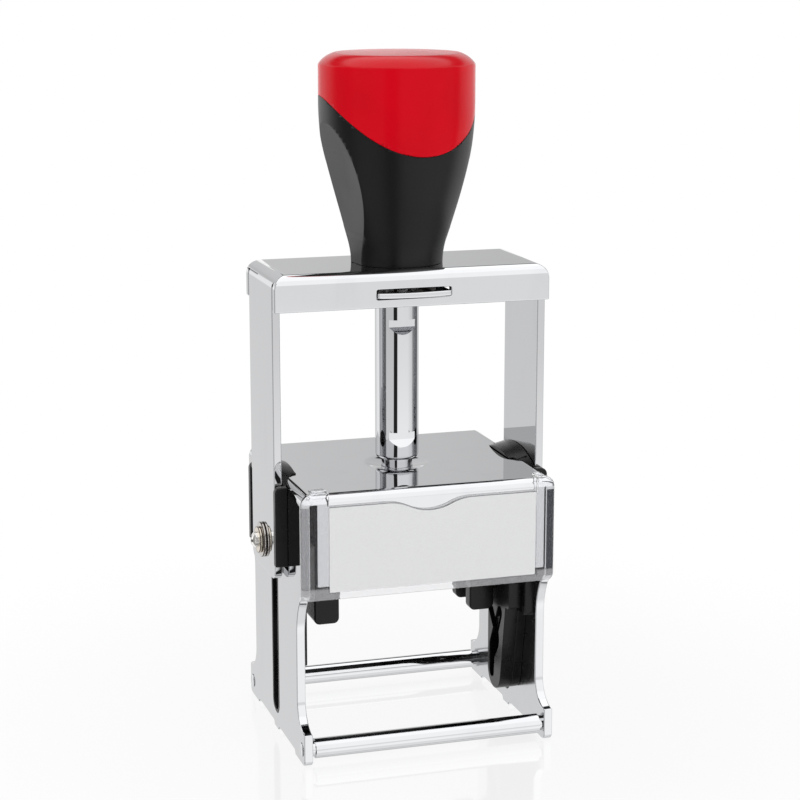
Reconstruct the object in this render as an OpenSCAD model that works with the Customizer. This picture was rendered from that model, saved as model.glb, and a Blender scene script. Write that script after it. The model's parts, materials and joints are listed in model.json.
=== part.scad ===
// Self-inking hand stamp with a turning die.
// A chrome frame stands over the paper. A sprung yoke slides down its column, and a pin on the
// die carrier follows the cam beside the right leg, so the die turns from the pad to the paper.
// The front faces -Y, the table is at z = 0 and the column axis is the z axis.

/* [Base frame] */
// Width over the outside of the two legs
leg_span = 62.8; // [61:0.2:66]
// Thickness of the frame's sheet steel
frame_sheet = 2.2; // [1.8:0.1:2.4]
// Height of the box top above the table
box_top = 66.1; // [65.5:0.1:69]
// Distance from the column axis to the front of the box
box_front = 26.3; // [25.2:0.1:28]
// Distance from the column axis to the rear edge of the box
box_rear = 26.3; // [25.2:0.1:28]
// Height where the legs have widened into the sides of the box
box_bottom = 42; // [40:0.5:44]
// Depth of each leg at its waist
leg_waist = 42.2; // [40:0.2:46]
// Depth over the feet, front to rear
foot_span = 55.6; // [54:0.2:60]
// Height of the feet
foot_h = 7.9; // [7:0.1:9]
// Outer radius of the frame's bends
frame_bend = 2.5; // [2.5:0.1:3.5]
// Width of the pivot slot in each leg
slot_w = 6.6; // [6.2:0.1:7.4]
// Height of the lower end of the pivot slot
slot_bottom = 4; // [3.2:0.1:4.8]

/* [Cross rods] */
// Diameter of the rods between the feet
rod_d = 4.8; // [4:0.1:5.2]
// Height of the rod axes above the table
rod_z = 3.6; // [3:0.1:4.4]
// Distance from the face of a foot to the rod axis
rod_inset = 2.6; // [2.4:0.1:3.4]

/* [Column] */
// Diameter of the guide column
column_d = 10.7; // [10:0.1:11.4]
// Bore of the column, which holds the return spring
column_bore = 6.6; // [6:0.1:7]
// Height of the column's lower end over the box top, where its neck shows
column_lift = 1.3; // [1.2:0.1:2.4]
// Depth of the latch notches in the column
notch_depth = 1.1; // [0.7:0.1:1.2]
// Press at which the upper notch meets the latch
notch_press_upper = 8.7; // [6:0.1:12]
// Press at which the lower notch meets the latch
notch_press_lower = 36.6; // [30:0.1:37.5]

/* [Yoke] */
// Thickness of the yoke's sheet steel
yoke_sheet = 2; // [1.6:0.1:2.4]
// Depth of each arm, front to rear
arm_depth = 23.2; // [21:0.2:24]
// Height of the front and rear flanges
flange_h = 8.8; // [7.5:0.1:10]
// Radius of the yoke's upper corners
yoke_corner = 3.5; // [3:0.1:5]
// Width of the locking latch
latch_w = 18.2; // [16:0.2:20]
// Push that takes the latch almost to the column
latch_push = 2; // [1.2:0.1:2.4]

/* [Handle] */
// Diameter of the handle where it meets the yoke
handle_bottom_d = 22.2; // [21:0.2:23]
// Largest diameter of the handle
handle_top_d = 37.5; // [34:0.5:40]
// Height of the handle
handle_h = 50.3; // [49:0.1:56]
// Height of the seam between cap and grip above the yoke, on the handle axis
seam_h = 31; // [29:0.1:33]
// Slope of the seam, rising to the rear, in degrees
seam_tilt = 13.5; // [10:0.5:18]
// Turn of the handle about its axis, in degrees
handle_turn = 6; // [0:1:15]

/* [Die] */
// Width of the imprint
imprint_w = 45; // [40:0.5:45]
// Depth of the imprint
imprint_d = 30; // [26:0.5:31]
// Distance from the pivot axis to the face of the die
die_offset = 8.2; // [8:0.1:9]
// Height of the pivot axis at rest
pivot_z = 49; // [48.4:0.1:49.4]
// Distance from the pivot axis to the lower end of the carrier's blocks
block_drop = 21; // [18:0.2:21.4]
// Radius of the circle on which the flip pin travels
flip_r = 8.5; // [7.8:0.1:8.7]
// Angle of the flip pin from straight down at rest, in degrees
flip_start = -36; // [-40:1:-34]

/* [Label window] */
// Width of the clear window
window_w = 63; // [61:0.2:64]
// Height of the lower edge of the window above the table
window_bottom = 40.9; // [39.5:0.1:42]
// Depth of the thumb dip in the window's upper edge
thumb_dip = 2.4; // [1.5:0.1:3.5]
// Width of the thumb dip
thumb_w = 21; // [16:0.5:24]

/* [Hidden] */
$fn = 96;

// Clearances
slide_gap = 0.1;
run_gap = 0.3;
bore_gap = 0.05;
print_gap = 0.3;
pad_gap = 0.5;
flange_gap = 0.6;
flange_slit = 0.8;
floor_gap = 1.1;

// Travel
stroke = pivot_z - die_offset - print_gap;

// Frame
leg_x = leg_span / 2;
leg_in = leg_x - frame_sheet;
waist = leg_waist / 2;
foot = foot_span / 2;
foot_pad = 9;
foot_relief = 1;
foot_fillet = foot - waist - 0.2;
front_sweep = 15;
rear_sweep = 6;
foot_corner = 1.6;
relief_in = 2;
relief_corner = 0.9;
front_wall_left = leg_in - 1.7;
front_wall_right = leg_in - 0.25;
front_wall_bottom = window_bottom + 3;
dish_depth = 1.1;
dish_edge = 8.7;
dish_r = (dish_edge * dish_edge + dish_depth * dish_depth) / (2 * dish_depth);
column_r = column_d / 2;
column_round = 1.1;
neck_r = 3.8;
rod_y = foot - rod_inset;
rod_neck = 0.9;
rod_neck_depth = 0.5;
rivet_r = 1.5;
rivet_proud = 0.2;

// Pivot
liner_lip = 0.9;
slot_r = slot_w / 2;
slot_lo = slot_bottom + slot_r;
slot_hi = pivot_z + run_gap;
bush_r = slot_r - liner_lip - slide_gap;
shank_r = 1.6;
ledge_z = slot_hi + slot_r + run_gap;

// Slide guides
strip_t = 0.6;
arm_in = leg_x + strip_t + slide_gap;
arm_out = arm_in + yoke_sheet;
arm_half = arm_depth / 2;
lip_t = 2.1;
lip_in = arm_half + run_gap;
lip_out = lip_in + lip_t;
lip_x = arm_out + run_gap;
lip_top = box_top - 0.9;
lip_round = 1.5;
lip_bottom = pivot_z - 3.3;
tab_reach = 4.3;
tab_front = arm_half - 0.2;
tab_rear = 10.4;
tab_rise = 2.2;
tab_arch = 30;
tab_crest_y = 1.5;
tab_slope = 14;
tab_step = 1.7;
tab_notch_y = 7.4;
tab_root = 3;

// Yoke
flange_bottom = box_top + flange_gap + stroke;
yoke_top = flange_bottom + flange_h;
flange_in = arm_half + flange_slit;
flange_out = flange_in + yoke_sheet;
flange_bend = 2.5;
arm_bottom = stroke + floor_gap;
arm_corner = 3;
latch_t = 1.3;
latch_slot_h = 2.2;
latch_slot_z = flange_bottom + 2.2;
latch_z = latch_slot_z + slide_gap;
latch_proud = 1.5;
latch_corner = 1.2;
latch_bow = 1;
latch_bow_r = (latch_w * latch_w / 4 + latch_bow * latch_bow) / (2 * latch_bow);
latch_hole_r = column_r + 0.95;
bush_sleeve_r = column_r + 1.65;
bush_sleeve_h = 8;

// Handle
handle_top = yoke_top + handle_h;
handle_r0 = handle_bottom_d / 2;
handle_r1 = handle_top_d / 2;
cap_dome = 0.3;
shoulder_w = 3.75;
shoulder_h = 2.65;
shoulder_r = 6.8;
disc_r = handle_r1 - shoulder_w;
dome_r = (disc_r * disc_r + cap_dome * cap_dome) / (2 * cap_dome);
handle_lean = 18.6;
hollow_sweep = 18.5;
full_sweep = 80;
seam_bend = 25;
scoop_r = 84;
scoop_deep = handle_r0 - 0.5;
scoop_drop = 1.7;
handle_bore_r = column_r + 1.25;
seat_top = handle_top - 3.4;
seat_h = 2.5;
seat_spigot_h = 5;
seat_spigot_r = 1.7;
seat_bottom = seat_top - seat_h;
column_top = seat_bottom - stroke - 0.8;

// Return spring
spring_r = 2.55;
spring_wire = 0.9;
spring_turns = 24;
spring_bottom = box_top + 4;

// Die carrier
block_out = imprint_w / 2 + 0.7;
block_in = block_out - 6.3;
block_half = 7.1;
block_web = 2.8;
carrier_plate_z = pivot_z + 0.7;
die_face_z = pivot_z + die_offset;
rubber_t = 2.5;
rubber_z = die_face_z - rubber_t;
die_plate_t = 2;
die_plate_z = rubber_z - die_plate_t;
flip_pin_r = 1.4;

// Flip guide: the plate against the right leg and the cam on it, each with the leaning loop
guide_plate_t = 2.4;
guide_plate_low = 29.5;
guide_plate_front = waist - 1.4;
guide_plate_rear = 11;
guide_corner = 1.2;
cam_in = block_out + 0.4;
cam_out = leg_in - guide_plate_t;
cam_step_front = 2.6;
cam_step_low = 1;
groove_r = flip_pin_r + 0.25;
groove_depth = 1.2;
groove_floor_gap = 0.2;
loop_low = [-6.6, 11.7];
loop_r = 4.7;
loop_lean = 10;
loop_top_z = 31;
loop_slot_low = [-4.9, 11];
loop_slot_low_r = 1.6;
loop_slot_knee = [-5.1, 17.5];
loop_slot_knee_r = 1.9;
loop_slot_high = [-10.4, 28];
loop_slot_high_r = 1.7;

// Slot liner
liner_t = 1.2;
liner_half = 8.5;
liner_low = 3;
liner_wing = waist - 2.6;
liner_wing_low = 22;
liner_fillet = 6;

// Pad
pad_face_z = die_face_z + pad_gap;
pad_half_w = imprint_w / 2 + 1.4;
pad_half_d = imprint_d / 2 + 3;
tray_top = box_top - frame_sheet - run_gap;
tray_plate = 3.2;
tray_x = leg_in - 1.4;

// Window
window_x = window_w / 2;
window_gap = 0.1;
window_back = box_front + window_gap;
window_front = box_front + 1.4;
window_top = box_top - 2.9;
window_hook = 0.9;
window_hook_reach = 3;
window_corner = 2;
window_shoulder = 3.4;
window_edge = 1.6;
window_sill = 1.5;
card_half = 25.6;
card_shift = 1;
card_t = 0.25;
card_gap = 0.1;

chrome = [0.82, 0.83, 0.85];
black = [0.09, 0.09, 0.1];
red = [0.85, 0.04, 0.07];

// A block between two corners
module block(low, high) {
    translate(low) cube(high - low);
}

// A (y, z) outline carried along x
module along_x(x0, x1) {
    translate([x0, 0, 0]) rotate([90, 0, 90]) linear_extrude(x1 - x0) children();
}

// An (x, z) outline carried along y
module along_y(y0, y1) {
    translate([0, y1, 0]) rotate([90, 0, 0]) linear_extrude(y1 - y0) children();
}

// A round bar along x
module bar_x(x0, x1, r, y, z) {
    translate([x0, y, z]) rotate([0, 90, 0]) cylinder(r = r, h = x1 - x0);
}

// What a round corner leaves of a square one, with the corner at the origin
module corner_sliver(r) {
    difference() {
        square(r);
        translate([r, r]) circle(r);
    }
}

module round_rect(low, high, r) {
    translate([low.x + r, low.y]) square([high.x - low.x - 2 * r, high.y - low.y]);
    translate([low.x, low.y + r]) square([high.x - low.x, high.y - low.y - 2 * r]);
    for (x = [low.x + r, high.x - r])
        for (y = [low.y + r, high.y - r])
            translate([x, y]) circle(r);
}

// A sheet bent down at both ends of its top, as a filled outline
module arch_outline(half, bottom, top, r) {
    translate([-half, bottom]) square([2 * half, top - bottom - r]);
    translate([-half + r, bottom]) square([2 * half - 2 * r, top - bottom]);
    for (side = [-1, 1])
        translate([side * (half - r), top - r]) circle(r);
}

// The pivot slot in a leg, seen from the side
module slot_outline(r) {
    translate([-r, slot_lo]) square([2 * r, slot_hi - slot_lo]);
    for (z = [slot_lo, slot_hi])
        translate([0, z]) circle(r);
}

// The sweep from a leg's waist out to the corner of the box
module box_sweep(reach, r) {
    rise = sqrt(r * r - pow(r - reach, 2));
    difference() {
        translate([0, -rise]) square([reach, rise]);
        translate([r, -rise]) circle(r);
    }
}

// A leg and the side of the box, seen from the right
module leg_outline() {
    difference() {
        union() {
            translate([-box_front, box_bottom]) square([box_front + box_rear, box_top - box_bottom]);
            translate([-waist, 0]) square([2 * waist, box_top]);
            translate([-foot, 0]) square([2 * foot, foot_h]);
            for (side = [0, 1])
                mirror([side, 0]) translate([waist, foot_h]) corner_sliver(foot_fillet);
            translate([waist, box_bottom]) box_sweep(box_rear - waist, rear_sweep);
            mirror([1, 0]) translate([waist, box_bottom]) box_sweep(box_front - waist, front_sweep);
        }
        for (side = [0, 1])
            mirror([side, 0]) {
                translate([foot, 0]) mirror([1, 0]) corner_sliver(foot_corner);
                round_rect([relief_in, -1], [foot - foot_pad, foot_relief], relief_corner);
            }
        translate([-box_front, box_top]) mirror([0, 1]) corner_sliver(frame_sheet);
    }
}

module frame_outside() {
    arch_outline(leg_x, -1, box_top, frame_bend);
}

module base_frame() {
    color(chrome) difference() {
        union() {
            intersection() {
                along_y(-foot, foot) difference() {
                    frame_outside();
                    arch_outline(leg_in, -2, box_top - frame_sheet, max(frame_bend - frame_sheet, 0.1));
                }
                along_x(-leg_x - 1, leg_x + 1) leg_outline();
            }
            block([-front_wall_left, -box_front, front_wall_bottom],
                [front_wall_right, -box_front + frame_sheet, box_top - frame_sheet + 0.1]);
        }
        along_x(-leg_x - 1, leg_x + 1) slot_outline(slot_r);
        for (side = [-1, 1])
            bar_x(-leg_x - 1, leg_x + 1, rivet_r, side * rod_y, rod_z);
        translate([0, 0, box_top - frame_sheet - 1]) cylinder(r = neck_r, h = frame_sheet + 2);
        translate([0, 0, box_top - dish_depth + dish_r]) sphere(dish_r);
    }
}

// A rod between the feet, necked at both ends and riveted through both legs
module cross_rod(y) {
    shoulder = leg_in - rod_neck;
    color(chrome) {
        bar_x(-shoulder, shoulder, rod_d / 2, y, rod_z);
        bar_x(-leg_in, leg_in, rod_d / 2 - rod_neck_depth, y, rod_z);
        bar_x(-leg_x - rivet_proud, leg_x + rivet_proud, rivet_r, y, rod_z);
    }
}

module front_cross_rod() {
    cross_rod(-rod_y);
}

module rear_cross_rod() {
    cross_rod(rod_y);
}

// One latch notch: a flat back wall over a face that slopes out to the surface
module column_notch(press) {
    wall_top = latch_z + latch_t / 2 - press + 0.9;
    back = -column_r + notch_depth;
    along_x(-column_r, column_r) polygon([[back, wall_top], [back, wall_top - 1.8],
        [-column_r - 0.2, wall_top - 3.9], [-column_r - 0.2, wall_top]]);
}

module guide_column() {
    foot_z = box_top + column_lift;
    color(chrome) difference() {
        union() {
            rotate_extrude() difference() {
                translate([0, foot_z]) square([column_r, column_top - foot_z]);
                translate([column_r, foot_z]) mirror([1, 0]) corner_sliver(column_round);
                translate([column_r, column_top]) mirror([1, 0]) mirror([0, 1]) corner_sliver(column_round);
            }
            translate([0, 0, box_top - frame_sheet]) cylinder(r = neck_r, h = frame_sheet + column_lift);
        }
        translate([0, 0, spring_bottom]) cylinder(r = column_bore / 2, h = column_top);
        column_notch(notch_press_upper);
        column_notch(notch_press_lower);
    }
}

// The claw that laps over the upper edge of the box: an arch that falls towards the column,
// with a hollow step in its front corner
module guide_tab() {
    inner = leg_x - tab_reach;
    outer = leg_x + strip_t;
    difference() {
        intersection() {
            translate([0, 0, lip_top - tab_root]) linear_extrude(tab_root + 10) difference() {
                translate([inner, -tab_front]) square([outer - inner, tab_front + tab_rear]);
                translate([inner, -tab_front]) square([tab_step, tab_front - tab_notch_y]);
                translate([inner, -tab_notch_y]) circle(tab_step);
            }
            translate([outer, tab_crest_y, box_top + tab_rise]) rotate([0, -tab_slope, 0])
                translate([0, 0, -tab_arch]) rotate([0, 90, 0]) cylinder(r = tab_arch, h = 20, center = true);
        }
        along_y(-box_front, box_rear) frame_outside();
    }
}

// A lip of the channel, with its upper outer corner rounded
module guide_lip(y0, y1) {
    along_y(y0, y1) difference() {
        translate([leg_x, lip_bottom]) square([lip_x - leg_x, lip_top - lip_bottom]);
        translate([lip_x, lip_top]) mirror([1, 0]) mirror([0, 1]) corner_sliver(lip_round);
    }
}

// The black channel that an arm of the yoke slides in, as fitted on the right
module slide_guide() {
    color(black) difference() {
        union() {
            block([leg_x, -lip_out, lip_bottom], [leg_x + strip_t, lip_out, lip_top]);
            guide_lip(-lip_out, -lip_in);
            guide_lip(lip_in, lip_out);
            guide_tab();
        }
        along_x(leg_x - 1, leg_x + strip_t + 1) slot_outline(slot_r);
    }
}

module right_slide_guide() {
    slide_guide();
}

module left_slide_guide() {
    mirror([1, 0, 0]) slide_guide();
}

// The lip that lines the pivot slot inside the sheet
module slot_lip(x0) {
    along_x(x0, x0 + frame_sheet) difference() {
        slot_outline(slot_r);
        slot_outline(slot_r - liner_lip);
    }
}

module left_slot_liner() {
    color(black) {
        along_x(-leg_in, -leg_in + liner_t) difference() {
            union() {
                translate([-liner_half, liner_low]) square([2 * liner_half, ledge_z - liner_low]);
                translate([-liner_wing, liner_wing_low])
                    square([2 * liner_wing, ledge_z - liner_wing_low]);
                for (side = [0, 1])
                    mirror([side, 0]) translate([liner_half, liner_wing_low]) mirror([0, 1])
                        corner_sliver(liner_fillet);
            }
            slot_outline(slot_r - liner_lip);
        }
        slot_lip(-leg_x);
    }
}

// The outline of two circles and their outer tangents
module teardrop(a, ra, b, rb) {
    way = b - a;
    spread = acos((ra - rb) / norm(way));
    turns = [for (side = [-1, 1]) atan2(way.y, way.x) + side * spread];
    translate(a) circle(ra);
    translate(b) circle(rb);
    polygon([for (end = [[a, ra], [b, rb]]) for (turn = end[0] == a ? turns : [turns[1], turns[0]])
        end[0] + end[1] * [cos(turn), sin(turn)]]);
}

// The loop that hangs below the flip guide's body, upright behind and leaning in front
module loop_outline() {
    front = loop_low - loop_r * [cos(loop_lean), sin(loop_lean)];
    rear = loop_low.x + loop_r;
    translate(loop_low) circle(loop_r);
    polygon([front, front + (loop_top_z - front.y) * [-tan(loop_lean), 1],
        [rear, loop_top_z], [rear, loop_low.y]]);
}

module flip_guide_plate() {
    color(black) {
        along_x(cam_out, leg_in) difference() {
            union() {
                round_rect([-guide_plate_front, guide_plate_low], [guide_plate_rear, ledge_z], guide_corner);
                loop_outline();
            }
            slot_outline(slot_r - liner_lip);
        }
        slot_lip(leg_in);
    }
}

// Where the flip pin stands after a part t of the stroke
function flip_point(t) =
    let (a = flip_start + 180 * t)
    [-flip_r * sin(a), pivot_z - stroke * t - flip_r * cos(a)];

function flip_side(t) =
    let (d = flip_point(t + 0.001) - flip_point(t - 0.001))
    [-d.y, d.x] / norm(d);

// The curved groove that turns the die as the yoke comes down
module flip_groove() {
    steps = 36;
    path = [for (i = [0 : steps]) i / steps];
    polygon(concat(
        [for (t = path) flip_point(t) + groove_r * flip_side(t)],
        [for (i = [steps : -1 : 0]) flip_point(path[i]) - groove_r * flip_side(path[i])]));
    for (t = [0, 1])
        translate(flip_point(t)) circle(groove_r);
}

module flip_cam() {
    channel = shank_r + run_gap;
    color(black) difference() {
        union() {
            along_x(cam_in, cam_out) round_rect([cam_step_front - guide_plate_front,
                guide_plate_low + cam_step_low], [guide_plate_rear, ledge_z], guide_corner);
            along_x(cam_in, cam_out) loop_outline();
        }
        along_x(cam_in - 1, cam_out + 1) translate([-channel, 0]) square([2 * channel, pivot_z]);
        bar_x(cam_in - 1, cam_out + 1, channel, 0, pivot_z);
        along_x(cam_in - 1, cam_in + groove_depth) flip_groove();
        along_x(cam_in - 1, cam_out + 1)
            teardrop(loop_slot_low, loop_slot_low_r, loop_slot_knee, loop_slot_knee_r);
        along_x(cam_in - 1, cam_out + 1)
            teardrop(loop_slot_knee, loop_slot_knee_r, loop_slot_high, loop_slot_high_r);
    }
}

// The thumb dip: a hollow arc that runs out into the edge through two full ones
module dip_outline() {
    half = thumb_w / 2;
    arc_r = half / (2 * sin(2 * atan(thumb_dip / half)));
    translate([0, window_top - thumb_dip + arc_r]) circle(arc_r);
    difference() {
        translate([-half, window_top - thumb_dip / 2]) square([2 * half, thumb_dip]);
        for (side = [-1, 1])
            translate([side * half, window_top - arc_r]) circle(arc_r);
    }
}

module label_window() {
    pane_half = card_half + 2 * card_gap;
    pane_low = card_shift - pane_half;
    pane_high = card_shift + pane_half;
    hook_x = leg_x - frame_bend;
    pane_top = box_top + window_hook;
    color([0.9, 0.93, 0.96, 0.35]) difference() {
        union() {
            intersection() {
                along_y(-window_front, -window_back)
                    round_rect([-window_x, window_bottom], [window_x, pane_top], window_corner);
                along_y(-window_front, -window_back)
                    arch_outline(window_x, window_bottom - 1, pane_top, window_shoulder);
                linear_extrude(pane_top + 1)
                    round_rect([-window_x, -window_front], [window_x, box_front], window_edge);
            }
            block([-hook_x, -window_back - window_gap, box_top + window_gap],
                [hook_x, -box_front + window_hook_reach, pane_top]);
        }
        block([pane_low, -window_front - 1, window_top], [pane_high, box_front, pane_top + 1]);
        along_y(-window_front - 1, -box_front + 1) dip_outline();
        block([pane_low, -box_front - card_t - card_gap, window_bottom + window_sill],
            [pane_high, -box_front + 1, window_top + 1]);
    }
}

module label_card() {
    color("white") difference() {
        block([card_shift - card_half, -box_front - card_t, window_bottom + window_sill + card_gap],
            [card_shift + card_half, -box_front, window_top - card_gap]);
        translate([0, 0, -card_gap]) along_y(-window_front, -box_front + 1) dip_outline();
    }
}

// The return spring as one tube of six sides, eight rings to a turn
module return_spring() {
    rings = 8 * spring_turns;
    sides = 6;
    wire_r = spring_wire / 2;
    low = spring_bottom + wire_r + 0.05;
    rise = seat_bottom - wire_r - 0.05 - low;
    pitch = rise / spring_turns;
    echo(spring_least_gap = pitch - spring_wire);
    points = [for (i = [0 : rings]) for (k = [0 : sides - 1])
        let (turn = 360 * i / 8, side = 360 * k / sides, r = spring_r + wire_r * cos(side))
        [r * cos(turn), r * sin(turn), low + rise * i / rings + wire_r * sin(side)]];
    walls = [for (i = [0 : rings - 1]) for (k = [0 : sides - 1])
        let (a = i * sides + k, b = i * sides + (k + 1) % sides)
        each [[a, a + sides, b], [b, a + sides, b + sides]]];
    first = [for (k = [1 : sides - 2]) [0, k, k + 1]];
    last = [for (k = [1 : sides - 2]) [rings * sides, rings * sides + k + 1, rings * sides + k]];
    color(chrome) polyhedron(points, concat(walls, first, last));
}

module yoke() {
    color(chrome) difference() {
        union() {
            intersection() {
                along_x(-arm_out, arm_out) difference() {
                    arch_outline(flange_out, flange_bottom, yoke_top, flange_bend);
                    translate([-flange_in, flange_bottom - 1])
                        square([2 * flange_in, flange_h + 1 - yoke_sheet]);
                }
                along_y(-flange_out, flange_out)
                    arch_outline(arm_out, flange_bottom - 1, yoke_top, yoke_corner);
            }
            intersection() {
                along_y(-arm_half, arm_half) difference() {
                    arch_outline(arm_out, arm_bottom, yoke_top, yoke_corner);
                    arch_outline(arm_in, arm_bottom - 1, yoke_top - yoke_sheet, yoke_corner - yoke_sheet);
                }
                along_x(-arm_out - 1, arm_out + 1)
                    round_rect([-arm_half, arm_bottom], [arm_half, yoke_top + arm_corner], arm_corner);
            }
        }
        bar_x(-arm_out - 1, arm_out + 1, shank_r, 0, pivot_z);
        block([-latch_w / 2 - slide_gap, -flange_out - 1, latch_slot_z],
            [latch_w / 2 + slide_gap, flange_out + 1, latch_slot_z + latch_slot_h]);
        translate([0, 0, yoke_top - yoke_sheet - 1]) cylinder(r = bush_sleeve_r, h = yoke_sheet + 2);
    }
}

// The flanged bush that guides the column and holds the handle on the yoke
module column_bush() {
    web = yoke_top - yoke_sheet;
    color("goldenrod") difference() {
        union() {
            translate([0, 0, web - 1.6]) cylinder(r = bush_sleeve_r + 2.5, h = 1.6);
            translate([0, 0, web]) cylinder(r = bush_sleeve_r, h = yoke_sheet + bush_sleeve_h);
        }
        translate([0, 0, web - 2]) cylinder(r = column_r + bore_gap + 0.03, h = bush_sleeve_h + 10);
    }
}

// Half of the handle's section: a hollow sweep, a straight taper and a full sweep up to the rim,
// then a shoulder that meets rim and disc at soft creases, and a slightly domed disc
module handle_half() {
    taper_r0 = handle_r0 + hollow_sweep * (1 - cos(handle_lean));
    taper_r1 = handle_r1 - full_sweep * (1 - cos(handle_lean));
    taper_z0 = hollow_sweep * sin(handle_lean);
    taper_z1 = taper_z0 + (taper_r1 - taper_r0) / tan(handle_lean);
    swell = taper_z1 + full_sweep * sin(handle_lean);
    rim = handle_h - cap_dome - shoulder_h;
    lap = 1;
    difference() {
        polygon([[0, 0], [handle_r0, 0], [taper_r0, taper_z0], [taper_r1, taper_z1], [0, taper_z1]]);
        intersection() {
            translate([0, -1]) square([taper_r0, taper_z0 + 1]);
            translate([handle_r0 + hollow_sweep, 0]) circle(hollow_sweep, $fn = 256);
        }
    }
    intersection() {
        translate([0, taper_z1 - lap]) square([handle_r1, swell - taper_z1 + 2 * lap]);
        translate([handle_r1 - full_sweep, swell]) circle(full_sweep, $fn = 360);
    }
    translate([0, swell]) square([handle_r1, rim - swell]);
    translate([0, rim - lap]) square([disc_r, shoulder_h + lap]);
    intersection() {
        translate([disc_r - lap, rim - lap]) square([shoulder_w + lap, shoulder_h + lap]);
        translate([disc_r, rim]) shoulder_circle();
    }
    intersection() {
        translate([0, rim]) square([disc_r, shoulder_h + cap_dome]);
        translate([0, handle_h - dome_r]) circle(dome_r, $fn = 720);
    }
}

// The circle through both ends of the cap's shoulder, from the foot of the disc
module shoulder_circle() {
    chord = [shoulder_w, shoulder_h];
    depth = sqrt(shoulder_r * shoulder_r - chord * chord / 4);
    translate(chord / 2 - depth * [shoulder_h, shoulder_w] / norm(chord)) circle(shoulder_r);
}

module handle_body() {
    translate([0, 0, yoke_top]) rotate_extrude() handle_half();
}

// The space of the cap: everything over a trough that rises to the rear
module cap_space() {
    rotate([0, 0, handle_turn])
        translate([0, 0, yoke_top + seam_h + seam_bend / cos(seam_tilt)])
            rotate([90 + seam_tilt, 0, 0]) cylinder(r = seam_bend, h = 120, center = true);
}

module handle_bore() {
    translate([0, 0, yoke_top - 1]) cylinder(r = handle_bore_r, h = seat_top - yoke_top + 1);
    translate([0, 0, yoke_top - 1]) cylinder(r = bush_sleeve_r, h = bush_sleeve_h + 1);
}

module handle_grip() {
    color(black) difference() {
        handle_body();
        cap_space();
        handle_bore();
        rotate([0, 0, handle_turn]) for (side = [-1, 1])
            translate([side * (scoop_deep + scoop_r), 0, yoke_top - scoop_drop]) rotate([90, 0, 0])
                cylinder(r = scoop_r, h = 60, center = true, $fn = 256);
    }
}

module handle_cap() {
    color(red) difference() {
        intersection() {
            handle_body();
            cap_space();
        }
        handle_bore();
    }
}

module spring_seat() {
    color(black) {
        translate([0, 0, seat_bottom]) cylinder(r = handle_bore_r, h = seat_h);
        translate([0, 0, seat_bottom - seat_spigot_h]) cylinder(r = seat_spigot_r, h = seat_spigot_h);
    }
}

// Puts a piece that is drawn for the right arm on both arms
module both_arms() {
    children();
    mirror([1, 0, 0]) children();
}

module pivot_screws() {
    head = arm_out + 1.5;
    color(chrome) both_arms() translate([0, 0, pivot_z]) rotate([0, 90, 0]) difference() {
        rotate_extrude() {
            translate([0, block_out - block_web + 0.3]) square([shank_r, head - block_out + block_web - 0.3]);
            intersection() {
                translate([0, head]) square([1.95, 1.6]);
                translate([0, head - 1]) circle(2.6);
            }
        }
        for (a = [0, 90])
            rotate([0, 0, a]) translate([-0.3, -1.1, head + 0.9]) cube([0.6, 2.2, 2]);
    }
}

// A ring on the right arm's pivot
module pivot_ring(x0, x1, r) {
    difference() {
        bar_x(x0, x1, r, 0, pivot_z);
        bar_x(x0 - 1, x1 + 1, shank_r, 0, pivot_z);
    }
}

module pivot_washers() {
    color(chrome) both_arms() pivot_ring(arm_out, arm_out + 0.8, 4.3);
}

module pivot_lock_washers() {
    color(chrome) both_arms() pivot_ring(arm_out + 0.8, arm_out + 1.5, 3.2);
}

module pivot_bushes() {
    color(black) both_arms() pivot_ring(cam_out, arm_in, bush_r);
}

module lock_latch() {
    front = flange_out + latch_proud;
    color(chrome) translate([0, 0, latch_z]) linear_extrude(latch_t) difference() {
        intersection() {
            round_rect([-latch_w / 2, -front], [latch_w / 2, flange_out], latch_corner);
            translate([0, latch_bow_r - front]) circle(latch_bow_r, $fn = 256);
        }
        for (y = [column_r + run_gap - latch_hole_r - latch_push + 0.65, 0.5])
            translate([0, y]) circle(latch_hole_r);
        translate([-latch_hole_r, -1]) square([2 * latch_hole_r, 1.5]);
    }
}

module die_carrier() {
    low = pivot_z - block_drop;
    color(black) difference() {
        union() {
            block([-block_out, -imprint_d / 2 - 0.3, carrier_plate_z],
                [block_out, imprint_d / 2 + 0.3, die_plate_z]);
            both_arms() along_y(-block_half, block_half)
                round_rect([block_in, low], [block_out, die_plate_z], 1.4);
        }
        both_arms() {
            block([block_in - 1, -block_half / 2, low - 1],
                [block_out - block_web, block_half / 2, carrier_plate_z]);
            bar_x(block_in, block_out + 1, shank_r + bore_gap, 0, pivot_z);
        }
        bar_x(block_out - block_web, block_out + 1, flip_pin_r, flip_point(0).x, flip_point(0).y);
    }
}

module die_plate() {
    color([0.2, 0.2, 0.22]) block([-imprint_w / 2 - 0.4, -imprint_d / 2 - 0.2, die_plate_z],
        [imprint_w / 2 + 0.4, imprint_d / 2 + 0.2, rubber_z]);
}

// The blank rubber die: a raised border round an even field
module rubber_die() {
    half = [imprint_w, imprint_d] / 2;
    color([0.45, 0.16, 0.13]) difference() {
        block([-half.x, -half.y, rubber_z], [half.x, half.y, die_face_z]);
        block([1.5 - half.x, 1.5 - half.y, die_face_z - 0.9], [half.x - 1.5, half.y - 1.5, die_face_z + 1]);
    }
}

module flip_pin() {
    tip = cam_in + groove_depth - groove_floor_gap;
    color(chrome) bar_x(block_out - block_web, tip, flip_pin_r, flip_point(0).x, flip_point(0).y);
}

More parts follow.
